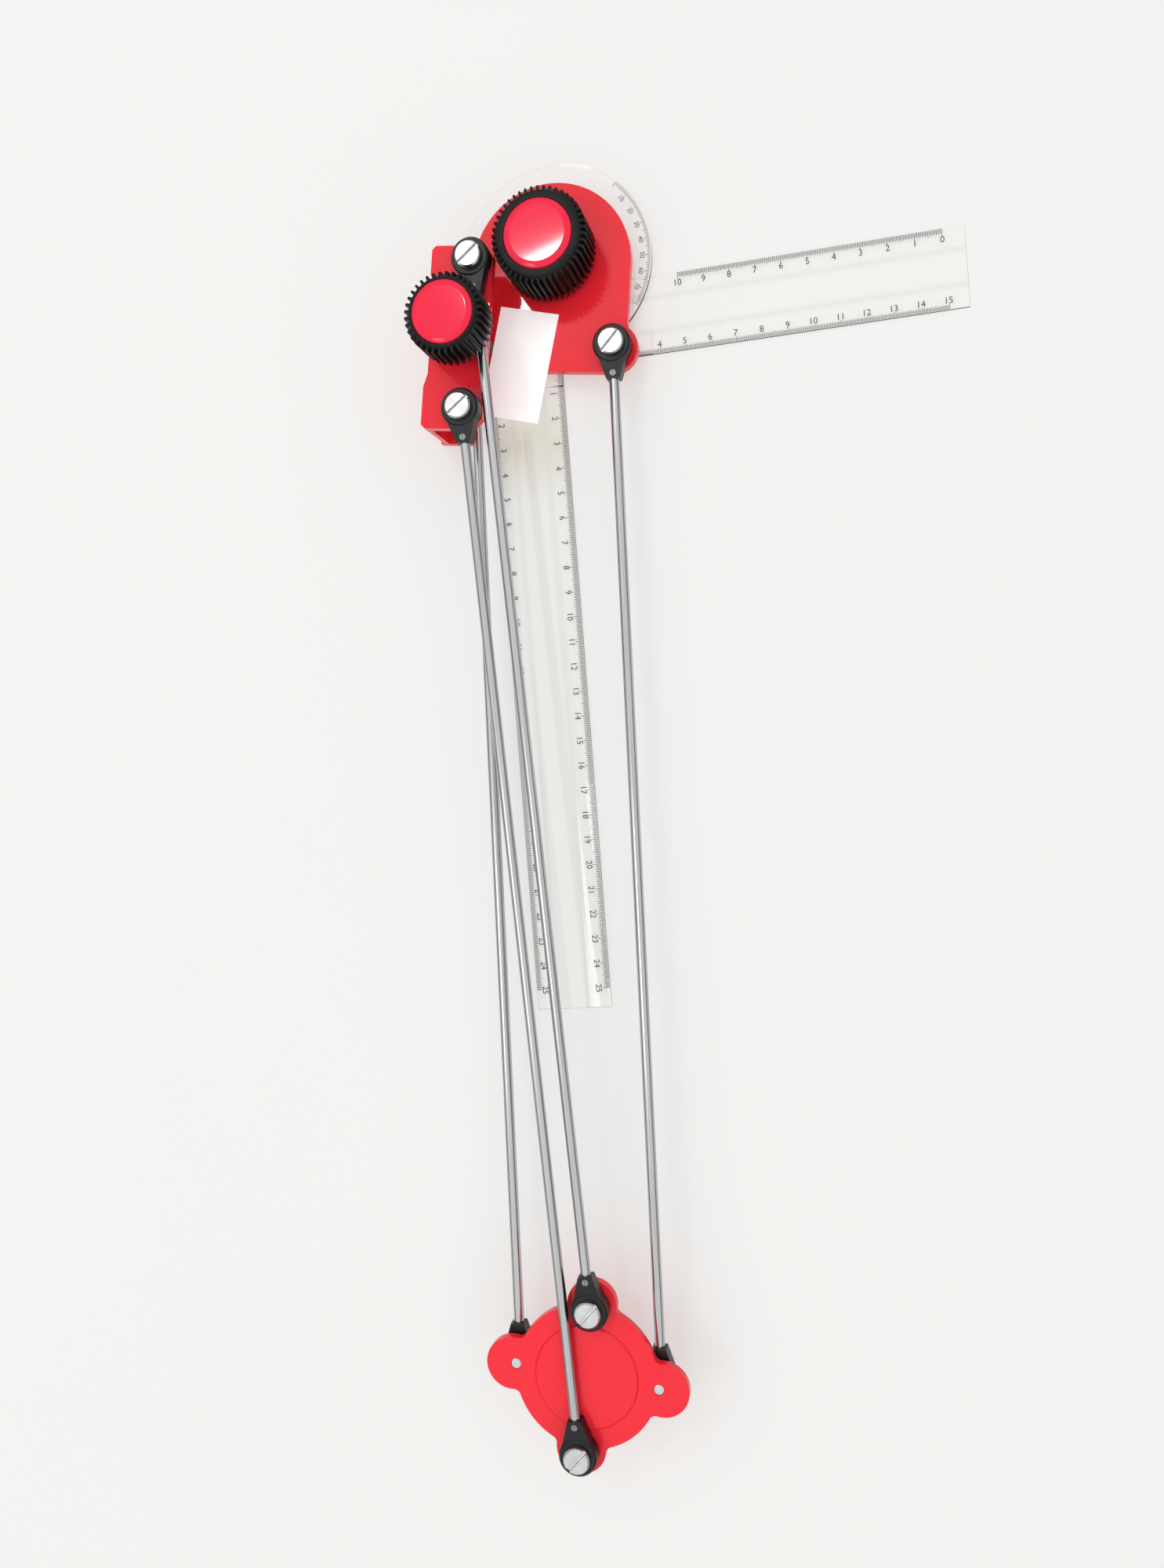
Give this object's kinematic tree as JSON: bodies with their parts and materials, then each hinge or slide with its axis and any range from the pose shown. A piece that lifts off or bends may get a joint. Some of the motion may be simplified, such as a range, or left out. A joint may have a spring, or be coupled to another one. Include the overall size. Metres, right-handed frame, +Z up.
{
  "type": "drafting machine",
  "caption": "Folding drafting machine with a board clamp, parallel-rod arms, an elbow plate and a head that holds a protractor disc and a clear square.",
  "frame": {"origin": "the head's turning axis on the plane of the drawing sheet, at the centre of the underside of the scale hub", "axes": "+Z up from the sheet, +X along the short blade, -Y along the long blade, with the machine folded"},
  "size_m": [0.2127, 0.5129, 0.0524],
  "materials": {
    "red_paint": "gloss red enamel on a casting",
    "black_plastic": "moulded, slight sheen",
    "washer_black": "flat washer",
    "red_cap": "glossy pinkish red cap",
    "bright_rod": "bright plated steel rod",
    "screw_steel": "turned and plated",
    "brass": "turned",
    "clear_acrylic": "clear with dark graduations",
    "tag_card": "blank white card"
  },
  "bodies": {
    "clamp": {"clamp_body": "red_paint", "clamp_pivot_screws": "screw_steel", "clamp_pivot_washers": "washer_black"},
    "press_pad": {"press_pad": "black_plastic"},
    "press_screw": {"press_screw": "screw_steel", "clamp_knob": "black_plastic", "clamp_knob_insert": "brass", "clamp_knob_cap": "red_cap"},
    "clamp_rod_a": {"clamp_rod_a": "bright_rod", "clamp_rod_a_clamp_end": "black_plastic", "clamp_rod_a_elbow_end": "black_plastic", "clamp_rod_a_grub_screws": "screw_steel"},
    "clamp_rod_b": {"clamp_rod_b": "bright_rod", "clamp_rod_b_clamp_end": "black_plastic", "clamp_rod_b_elbow_end": "black_plastic", "clamp_rod_b_grub_screws": "screw_steel"},
    "elbow": {"elbow_plate": "red_paint", "elbow_upper_screws": "screw_steel", "elbow_upper_washers": "washer_black", "elbow_lower_screws": "screw_steel", "elbow_lower_washers": "washer_black"},
    "head_rod_a": {"head_rod_a": "bright_rod", "head_rod_a_elbow_end": "black_plastic", "head_rod_a_head_end": "black_plastic", "head_rod_a_grub_screws": "screw_steel"},
    "head_rod_b": {"head_rod_b": "bright_rod", "head_rod_b_elbow_end": "black_plastic", "head_rod_b_head_end": "black_plastic", "head_rod_b_grub_screws": "screw_steel"},
    "head": {"head_plate": "red_paint", "head_pivot_screws": "screw_steel", "head_pivot_washers": "washer_black", "head_bush": "brass", "friction_ring": "black_plastic", "spring_washer": "screw_steel", "blank_tag": "tag_card"},
    "scales": {"protractor_disc": "clear_acrylic", "blade_square": "clear_acrylic", "centre_spindle": "screw_steel", "hub_rivets": "screw_steel", "scale_screws": "screw_steel"},
    "lock_knob": {"lock_knob": "black_plastic", "lock_knob_insert": "brass", "lock_knob_cap": "red_cap"}
  },
  "joints": [
    {"name": "clamp_arm_swing", "type": "hinge", "parent": "clamp", "child": "clamp_rod_a", "pos_m": [-0.0267, -0.00476, 0.0318], "axis": [0, 0, 1], "range_deg": [0, 155]},
    {"name": "clamp_rod_b_swing", "type": "hinge", "parent": "clamp", "child": "clamp_rod_b", "pos_m": [-0.03536, -0.06069, 0.0318], "axis": [0, 0, 1], "range_deg": [0, 155]},
    {"name": "elbow_pivot", "type": "hinge", "parent": "clamp_rod_a", "child": "elbow", "pos_m": [-0.01226, -0.4082, 0.0318], "axis": [0, 0, 1], "range_deg": [-155, 0]},
    {"name": "head_arm_swing", "type": "hinge", "parent": "elbow", "child": "head_rod_a", "pos_m": [0.01138, -0.4405, 0.0207], "axis": [0, 0, 1], "range_deg": [-85, 0]},
    {"name": "head_rod_b_swing", "type": "hinge", "parent": "elbow", "child": "head_rod_b", "pos_m": [-0.04456, -0.43184, 0.0207], "axis": [0, 0, 1], "range_deg": [-85, 0]},
    {"name": "head_pivot", "type": "hinge", "parent": "head_rod_a", "child": "head", "pos_m": [0.0221, -0.03894, 0.0138], "axis": [0, 0, 1], "range_deg": [0, 85]},
    {"name": "scale_turn", "type": "hinge", "parent": "head", "child": "scales", "pos_m": [0, 0, 0.004], "axis": [0, 0, 1], "range_deg": [0, 90]},
    {"name": "lock_knob_turn", "type": "hinge", "parent": "head", "child": "lock_knob", "pos_m": [0, 0, 0.02], "axis": [0, 0, 1], "range_deg": [0, 90]},
    {"name": "press_feed", "type": "slide", "parent": "clamp", "child": "press_pad", "axis": [0, 0, 1], "range_m": [0, 0.00375]},
    {"name": "press_turn", "type": "hinge", "parent": "press_pad", "child": "press_screw", "pos_m": [-0.03403, -0.03054, 0.03], "axis": [0, 0, 1], "range_deg": [0, 1080]}
  ],
  "couplings": [
    {"joint": "clamp_rod_b_swing", "follows": "clamp_arm_swing", "ratio": 1},
    {"joint": "elbow_pivot", "follows": "clamp_arm_swing", "ratio": -1},
    {"joint": "head_rod_b_swing", "follows": "head_arm_swing", "ratio": 1},
    {"joint": "head_pivot", "follows": "head_arm_swing", "ratio": -1},
    {"joint": "press_turn", "follows": "press_feed", "rad_per_m": 5026.5}
  ]
}
